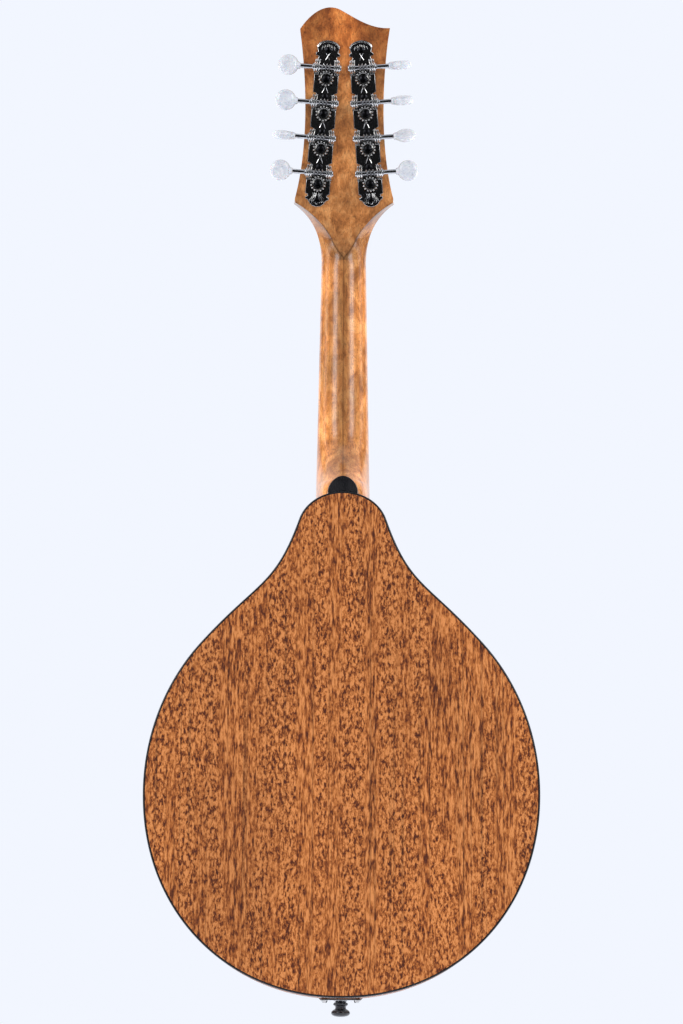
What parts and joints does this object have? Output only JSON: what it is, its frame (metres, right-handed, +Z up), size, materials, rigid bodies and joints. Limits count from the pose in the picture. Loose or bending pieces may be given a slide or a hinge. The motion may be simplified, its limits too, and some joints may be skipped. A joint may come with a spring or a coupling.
{
  "type": "mandolin",
  "caption": "Flat-top teardrop mandolin with an oval sound hole, geared tuners, adjustable bridge and strap button.",
  "frame": {"origin": "centre line of the body at its tail end, halfway through the body's depth", "axes": "+Z up the neck, -Y out of the soundboard, +Y out of the back, +X to the treble side"},
  "size_m": [0.254, 0.0791, 0.6702],
  "materials": {
    "spruce_top": "gloss varnish",
    "mahogany": "gloss varnish",
    "maple_neck": "gloss varnish",
    "inner_wood": "unfinished",
    "ebony": "satin",
    "black_binding": "gloss",
    "pearloid": "gloss",
    "nickel": "polished",
    "steel": "satin",
    "brass": "satin",
    "bone": "satin",
    "bronze_wound": "satin"
  },
  "bodies": {
    "instrument": {"soundboard": "spruce_top", "back_plate": "mahogany", "ribs": "mahogany", "top_binding": "black_binding", "back_binding": "black_binding", "neck_block": "inner_wood", "tail_block": "inner_wood", "linings": "inner_wood", "top_braces": "inner_wood", "back_braces": "inner_wood", "neck": "maple_neck", "heel_cap": "black_binding", "headplate": "black_binding", "fingerboard": "ebony", "frets": "nickel", "fret_markers": "pearloid", "nut": "bone", "truss_rod": "steel", "truss_rod_cover": "black_binding", "truss_cover_screws": "nickel", "bridge_base": "ebony", "bridge_posts": "nickel", "tailpiece_base": "nickel", "tailpiece_screws": "nickel", "end_pin": "black_binding", "strings": "bronze_wound", "tuner_plate_bass": "nickel", "tuner_plate_treble": "nickel", "tuner_plate_screws": "nickel", "tuner_bushings": "nickel"},
    "knob_bass_1": {"button_bass_1": "pearloid", "worm_bass_1": "steel"},
    "geared_post_bass_1": {"post_bass_1": "nickel"},
    "knob_bass_2": {"button_bass_2": "pearloid", "worm_bass_2": "steel"},
    "geared_post_bass_2": {"post_bass_2": "nickel"},
    "knob_bass_3": {"button_bass_3": "pearloid", "worm_bass_3": "steel"},
    "geared_post_bass_3": {"post_bass_3": "nickel"},
    "knob_bass_4": {"button_bass_4": "pearloid", "worm_bass_4": "steel"},
    "geared_post_bass_4": {"post_bass_4": "nickel"},
    "knob_treble_1": {"button_treble_1": "pearloid", "worm_treble_1": "steel"},
    "geared_post_treble_1": {"post_treble_1": "nickel"},
    "knob_treble_2": {"button_treble_2": "pearloid", "worm_treble_2": "steel"},
    "geared_post_treble_2": {"post_treble_2": "nickel"},
    "knob_treble_3": {"button_treble_3": "pearloid", "worm_treble_3": "steel"},
    "geared_post_treble_3": {"post_treble_3": "nickel"},
    "knob_treble_4": {"button_treble_4": "pearloid", "worm_treble_4": "steel"},
    "geared_post_treble_4": {"post_treble_4": "nickel"},
    "saddle": {"bridge_saddle": "ebony"},
    "wheel_bass": {"thumbwheel_bass": "nickel"},
    "wheel_treble": {"thumbwheel_treble": "nickel"},
    "cover": {"tailpiece_cover": "nickel"},
    "rod_nut": {"truss_rod_nut": "brass"}
  },
  "joints": [
    {"name": "knob_turn_bass_1", "type": "hinge", "parent": "instrument", "child": "knob_bass_1", "pos_m": [-0.01706, 0.01648, 0.54559], "axis": [-0.9973, 0.0178, 0.0712], "continuous": true},
    {"name": "post_turn_bass_1", "type": "hinge", "parent": "instrument", "child": "geared_post_bass_1", "pos_m": [-0.0176, 0.00945, 0.53973], "axis": [0, 0.9703, -0.2419], "continuous": true},
    {"name": "knob_turn_bass_2", "type": "hinge", "parent": "instrument", "child": "knob_bass_2", "pos_m": [-0.01533, 0.02217, 0.56839], "axis": [-0.9973, 0.0178, 0.0712], "continuous": true},
    {"name": "post_turn_bass_2", "type": "hinge", "parent": "instrument", "child": "geared_post_bass_2", "pos_m": [-0.01587, 0.01514, 0.56254], "axis": [0, 0.9703, -0.2419], "continuous": true},
    {"name": "knob_turn_bass_3", "type": "hinge", "parent": "instrument", "child": "knob_bass_3", "pos_m": [-0.0136, 0.02785, 0.59119], "axis": [-0.9973, 0.0178, 0.0712], "continuous": true},
    {"name": "post_turn_bass_3", "type": "hinge", "parent": "instrument", "child": "geared_post_bass_3", "pos_m": [-0.01414, 0.02082, 0.58534], "axis": [0, 0.9703, -0.2419], "continuous": true},
    {"name": "knob_turn_bass_4", "type": "hinge", "parent": "instrument", "child": "knob_bass_4", "pos_m": [-0.01187, 0.03354, 0.61399], "axis": [-0.9973, 0.0178, 0.0712], "continuous": true},
    {"name": "post_turn_bass_4", "type": "hinge", "parent": "instrument", "child": "geared_post_bass_4", "pos_m": [-0.01241, 0.02651, 0.60814], "axis": [0, 0.9703, -0.2419], "continuous": true},
    {"name": "knob_turn_treble_1", "type": "hinge", "parent": "instrument", "child": "knob_treble_1", "pos_m": [0.01706, 0.01648, 0.54559], "axis": [0.9973, 0.0178, 0.0712], "continuous": true},
    {"name": "post_turn_treble_1", "type": "hinge", "parent": "instrument", "child": "geared_post_treble_1", "pos_m": [0.0176, 0.00945, 0.53973], "axis": [0, 0.9703, -0.2419], "continuous": true},
    {"name": "knob_turn_treble_2", "type": "hinge", "parent": "instrument", "child": "knob_treble_2", "pos_m": [0.01533, 0.02217, 0.56839], "axis": [0.9973, 0.0178, 0.0712], "continuous": true},
    {"name": "post_turn_treble_2", "type": "hinge", "parent": "instrument", "child": "geared_post_treble_2", "pos_m": [0.01587, 0.01514, 0.56254], "axis": [0, 0.9703, -0.2419], "continuous": true},
    {"name": "knob_turn_treble_3", "type": "hinge", "parent": "instrument", "child": "knob_treble_3", "pos_m": [0.0136, 0.02785, 0.59119], "axis": [0.9973, 0.0178, 0.0712], "continuous": true},
    {"name": "post_turn_treble_3", "type": "hinge", "parent": "instrument", "child": "geared_post_treble_3", "pos_m": [0.01414, 0.02082, 0.58534], "axis": [0, 0.9703, -0.2419], "continuous": true},
    {"name": "knob_turn_treble_4", "type": "hinge", "parent": "instrument", "child": "knob_treble_4", "pos_m": [0.01187, 0.03354, 0.61399], "axis": [0.9973, 0.0178, 0.0712], "continuous": true},
    {"name": "post_turn_treble_4", "type": "hinge", "parent": "instrument", "child": "geared_post_treble_4", "pos_m": [0.01241, 0.02651, 0.60814], "axis": [0, 0.9703, -0.2419], "continuous": true},
    {"name": "saddle_height", "type": "slide", "parent": "instrument", "child": "saddle", "axis": [0, -1, 0], "range_m": [-0.0015, 0.001], "deforming": ["strings"]},
    {"name": "wheel_turn_bass", "type": "hinge", "parent": "saddle", "child": "wheel_bass", "pos_m": [-0.033, -0.029, 0.14144], "axis": [0, -1, 0], "range_deg": [-780, 780]},
    {"name": "wheel_turn_treble", "type": "hinge", "parent": "saddle", "child": "wheel_treble", "pos_m": [0.033, -0.029, 0.14144], "axis": [0, -1, 0], "range_deg": [-780, 780]},
    {"name": "cover_slide", "type": "slide", "parent": "instrument", "child": "cover", "axis": [0, 0, -1], "range_m": [0, 0.06]},
    {"name": "rod_nut_turn", "type": "hinge", "parent": "instrument", "child": "rod_nut", "pos_m": [0, -0.0092, 0.5062], "axis": [0, 0.0349, 0.9994], "range_deg": [-360, 360]}
  ],
  "couplings": [
    {"joint": "post_turn_bass_1", "follows": "knob_turn_bass_1", "ratio": 0.071429},
    {"joint": "post_turn_bass_2", "follows": "knob_turn_bass_2", "ratio": 0.071429},
    {"joint": "post_turn_bass_3", "follows": "knob_turn_bass_3", "ratio": 0.071429},
    {"joint": "post_turn_bass_4", "follows": "knob_turn_bass_4", "ratio": 0.071429},
    {"joint": "post_turn_treble_1", "follows": "knob_turn_treble_1", "ratio": 0.071429},
    {"joint": "post_turn_treble_2", "follows": "knob_turn_treble_2", "ratio": 0.071429},
    {"joint": "post_turn_treble_3", "follows": "knob_turn_treble_3", "ratio": 0.071429},
    {"joint": "post_turn_treble_4", "follows": "knob_turn_treble_4", "ratio": 0.071429},
    {"joint": "wheel_turn_bass", "follows": "saddle_height", "rad_per_m": 8976},
    {"joint": "wheel_turn_treble", "follows": "saddle_height", "rad_per_m": 8976}
  ]
}
